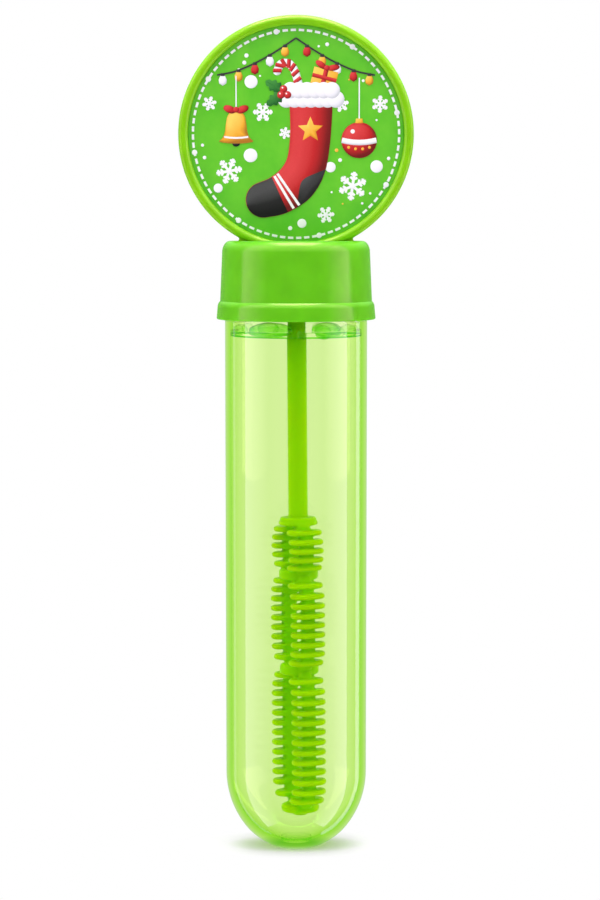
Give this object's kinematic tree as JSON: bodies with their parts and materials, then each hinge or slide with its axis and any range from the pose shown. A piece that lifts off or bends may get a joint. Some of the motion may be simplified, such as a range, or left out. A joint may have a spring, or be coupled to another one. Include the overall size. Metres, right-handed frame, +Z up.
{
  "type": "bubble wand",
  "caption": "Ribbed loop bubble wand on a push-on cap with a round picture disc, kept in a clear round-ended tube of bubble solution.",
  "frame": {"origin": "middle of the flat foot that the tube stands on", "axes": "+Z up along the tube to the disc, +X to the right and -Y out of the disc's front"},
  "size_m": [0.0362, 0.0246, 0.13],
  "materials": {
    "clear_bottle": "clear tinted plastic, polished",
    "solution": "clear soapy liquid",
    "cap_plastic": "glossy moulded plastic",
    "liner_foam": "closed-cell foam",
    "wand_plastic": "satin moulded plastic",
    "disc_plastic": "glossy moulded plastic",
    "label_print": "printed film"
  },
  "bodies": {
    "bottle": {"bottle": "clear_bottle", "bubble_solution": "solution"},
    "seal": {"seal_liner": "liner_foam"},
    "wand_and_cap": {"cap": "cap_plastic", "wand": "wand_plastic", "picture_disc": "disc_plastic", "front_label": "label_print", "back_label": "label_print"}
  },
  "joints": [
    {"name": "wand_lift", "type": "slide", "parent": "bottle", "child": "seal", "axis": [0, 0, 1], "range_m": [0, 0.1]},
    {"name": "cap_twist", "type": "hinge", "parent": "seal", "child": "wand_and_cap", "pos_m": [0, 0, 0.093], "axis": [0, 0, 1], "continuous": true}
  ]
}
